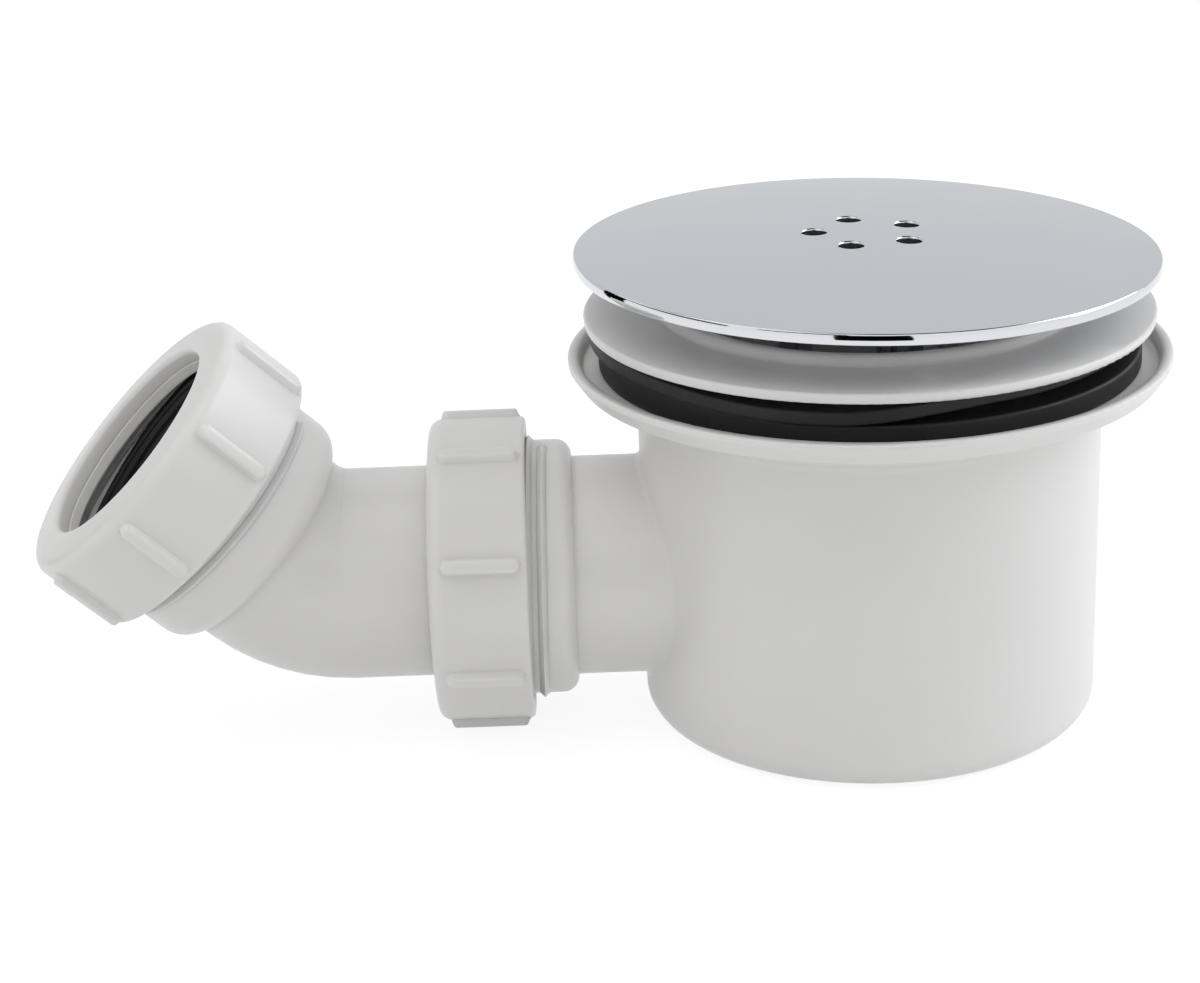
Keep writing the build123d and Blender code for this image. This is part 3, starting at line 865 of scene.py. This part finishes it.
def buildConeSeal(name, node, place, lean):
    # A tapered ring with shallow grooves round its inner face, which may sit askew in its socket
    spec = coneSpec
    low, high = reachAlong(node, place)
    corners = [
        (spec["inner"], low, spec["tipRounding"]), (spec["narrow"], low, spec["tipRounding"]),
        (spec["wide"], high, spec["tipRounding"]), (spec["inner"], high, spec["rounding"]),
    ]
    stride = (high - low) / (2 * spec["grooves"] + 1)
    for k in range(2 * spec["grooves"]):
        depth = spec["grooveDepth"] if k % 2 == 0 else 0
        corners.append((spec["inner"] + depth, high - stride * (k + 1), spec["grooveRounding"]))
    outline = roundedOutline(corners, spec["step"])
    mesh = ringMesh(name, outline, evenAngles(spec["turns"]))
    drop = spec["inner"] * math.sin(math.radians(lean)) * mm
    askew = Matrix.Translation((0, 0, high * mm - drop)) @ Matrix.Rotation(math.radians(-lean), 4, "Y")
    mesh.transform(place @ askew @ Matrix.Translation((0, 0, -high * mm)))
    return showPiece(name, mesh, blackRubber, node)


buildSlipRing("outletSlipRing", "outlet_slip_ring", outletFrame)
buildSlipRing("elbowSlipRing", "elbow_slip_ring", legFrame)
buildConeSeal("outletSeal", "outlet_seal", outletFrame, 0.0)
buildConeSeal("elbowSeal", "elbow_seal", legFrame, coneSpec["elbowLean"])
print("slip rings and cone seals made")


# Pieces inside the body: the CAD solids merged and smoothed

insidePieces = {"dipTube": "dip_tube", "dipTubeSeal": "dip_tube_seal", "sealCup": "seal_cup"}
for pieceName, nodeName in insidePieces.items():
    showPiece(pieceName, solidCopy(nodeName), finishOf[slotOf[nodeName]], nodeName)
print("inside pieces made:", len(insidePieces))


# Studio: a white floor and world, two soft lamps, and cards that only the polished cover mirrors

studioSpec = {
    "floorSize": 8.0, "floorGlow": 0.88, "floorColour": "#ececec", "floorSeen": "#7d7d7d",
    "ambient": 0.66, "ambientColour": "#fefefe",
    "lamps": {
        "key": {"from": (1.05, 0.15, 0.66), "size": 0.9, "power": 7.5, "tone": "#f6f9ff"},
        "fill": {"from": (-0.5, -0.2, 1.15), "size": 0.9, "power": 2.9, "tone": "#fbfcff"},
    },
    "cards": {
        "darkCard": {
            "middle": (-0.017, -0.33, 0.117), "facing": (0, 1, 0),
            "size": (0.157, 0.233), "tone": "#050505", "glow": 1.0,
        },
        "wedgeCard": {
            "middle": (-0.30, 0.0975, 0.08), "facing": (1, 0, 0),
            "size": (0.083, 0.16), "tone": "#050505", "glow": 1.0,
        },
        "sideLine": {
            "middle": (-1.2, 0.0, 0.51), "facing": (1, 0, 0),
            "size": (1.5, 0.22), "tone": "#2a2a2a", "glow": 1.0,
        },
        "frontLine": {
            "middle": (-0.75, -1.2, 0.77), "facing": (0, 1, 0),
            "size": (1.0, 0.18), "tone": "#2a2a2a", "glow": 1.0,
        },
        "backCard": {
            "middle": (0.0, 1.6, 0.80), "facing": (0, -1, 0),
            "size": (5.0, 1.6), "tone": "#fbfdff", "glow": 0.72,
        },
        "ceilingCard": {
            "middle": (0.0, -0.1, 1.5), "facing": (0, 0, -1),
            "size": (2.6, 2.2), "tone": "#4a4b4d", "glow": 1.0,
        },
        "floorCard": {
            "middle": (0.0, 0.0, 0.0005), "facing": (0, 0, 1),
            "size": (4.0, 4.0), "tone": "#ffffff", "glow": 1.05,
        },
    },
}


def whiteForCamera(tree):
    # 1 for rays that come from the camera, a mirror or glass
    path = addNode(tree, "ShaderNodeLightPath").outputs
    either = addNode(tree, "ShaderNodeMath", {"operation": "MAXIMUM"},
                     {0: path["Is Camera Ray"], 1: path["Is Glossy Ray"]})
    anyOfThem = addNode(tree, "ShaderNodeMath", {"operation": "MAXIMUM"},
                        {0: either.outputs[0], 1: path["Is Transmission Ray"]})
    return anyOfThem.outputs[0]


def buildStudio(spec):
    world = bpy.data.worlds.new("white studio")
    world.use_nodes = True
    tree = world.node_tree
    tree.nodes.clear()
    soft = addNode(tree, "ShaderNodeBackground",
                   feeds={"Color": linearColour(spec["ambientColour"]), "Strength": spec["ambient"]})
    white = addNode(tree, "ShaderNodeBackground", feeds={"Color": linearColour("#ffffff"), "Strength": 1.0})
    both = addNode(tree, "ShaderNodeMixShader",
                   feeds={0: whiteForCamera(tree), 1: soft.outputs[0], 2: white.outputs[0]})
    addNode(tree, "ShaderNodeOutputWorld", feeds={"Surface": both.outputs[0]})
    scene.world = world

    floorMesh = bpy.data.meshes.new("studioFloor")
    half = spec["floorSize"] / 2
    corners = [(-half, -half, 0), (half, -half, 0), (half, half, 0), (-half, half, 0)]
    floorMesh.from_pydata(corners, [], [(0, 1, 2, 3)])
    floor = bpy.data.objects.new("studioFloor", floorMesh)
    scene.collection.objects.link(floor)
    paper = bpy.data.materials.new("white paper floor")
    paper.use_nodes = True
    tree = paper.node_tree
    tree.nodes.clear()
    matt = addNode(tree, "ShaderNodeBsdfDiffuse", feeds={"Color": linearColour(spec["floorColour"])})
    shaded = addNode(tree, "ShaderNodeBsdfDiffuse", feeds={"Color": linearColour(spec["floorSeen"])})
    glow = addNode(tree, "ShaderNodeEmission",
                   feeds={"Color": linearColour("#ffffff"), "Strength": spec["floorGlow"]})
    lit = addNode(tree, "ShaderNodeAddShader", feeds={0: shaded.outputs[0], 1: glow.outputs[0]})
    seen = addNode(tree, "ShaderNodeMixShader",
                   feeds={0: whiteForCamera(tree), 1: matt.outputs[0], 2: lit.outputs[0]})
    addNode(tree, "ShaderNodeOutputMaterial", feeds={"Surface": seen.outputs[0]})
    floorMesh.materials.append(paper)


def buildLamp(name, spec):
    lamp = bpy.data.lights.new(name, "AREA")
    lamp.shape = "SQUARE"
    lamp.size = spec["size"]
    lamp.energy = spec["power"]
    lamp.color = linearColour(spec["tone"])[:3]
    light = bpy.data.objects.new(name, lamp)
    light.location = spec["from"]
    light.rotation_mode = "QUATERNION"
    light.rotation_quaternion = Vector(spec["from"]).to_track_quat("Z", "Y")
    scene.collection.objects.link(light)


def buildCard(name, spec):
    # A card that only shows as a reflection and lights nothing
    mesh = bpy.data.meshes.new(name)
    wide, tall = (length / 2 for length in spec["size"])
    corners = [(-wide, -tall, 0), (wide, -tall, 0), (wide, tall, 0), (-wide, tall, 0)]
    mesh.from_pydata(corners, [], [(0, 1, 2, 3)])
    facing = Vector(spec["facing"]).to_track_quat("Z", "Y").to_matrix().to_4x4()
    mesh.transform(Matrix.Translation(spec["middle"]) @ facing)
    card = bpy.data.objects.new(name, mesh)
    scene.collection.objects.link(card)
    paint = bpy.data.materials.new(name)
    paint.use_nodes = True
    tree = paint.node_tree
    tree.nodes.clear()
    shine = addNode(tree, "ShaderNodeEmission",
                    feeds={"Color": linearColour(spec["tone"]), "Strength": spec["glow"]})
    addNode(tree, "ShaderNodeOutputMaterial", feeds={"Surface": shine.outputs[0]})
    mesh.materials.append(paint)
    card.visible_camera = False
    card.visible_diffuse = False
    card.visible_shadow = False


buildStudio(studioSpec)
for lampName, lampSpec in studioSpec["lamps"].items():
    buildLamp(lampName, lampSpec)
for cardName, cardSpec in studioSpec["cards"].items():
    buildCard(cardName, cardSpec)
scene.view_settings.view_transform = "Standard"
print("studio made")


# Camera at the photograph's viewing angle

cameraSpec = {
    "place": (-55.13, -543.84, 251.78), "heading": 0.100, "pitch": -20.627, "roll": -2.133,
    "lens": 86.37, "sensor": 36.0,
}


def buildCamera(spec):
    heading, pitch, roll = (math.radians(spec[key]) for key in ("heading", "pitch", "roll"))
    forward = Vector((math.sin(heading) * math.cos(pitch), math.cos(heading) * math.cos(pitch),
                      math.sin(pitch)))
    levelRight = Vector((math.cos(heading), -math.sin(heading), 0))
    levelUp = levelRight.cross(forward)
    right = levelRight * math.cos(roll) + levelUp * math.sin(roll)
    up = levelUp * math.cos(roll) - levelRight * math.sin(roll)
    lens = bpy.data.cameras.new("photo camera")
    lens.lens = spec["lens"]
    lens.sensor_width = spec["sensor"]
    lens.sensor_fit = "HORIZONTAL"
    lens.clip_start = 0.01
    camera = bpy.data.objects.new("photo camera", lens)
    turn = Matrix((right, up, -forward)).transposed().to_4x4()
    camera.matrix_world = Matrix.Translation(Vector(spec["place"]) * mm) @ turn
    scene.collection.objects.link(camera)
    scene.camera = camera


buildCamera(cameraSpec)
print("camera placed")
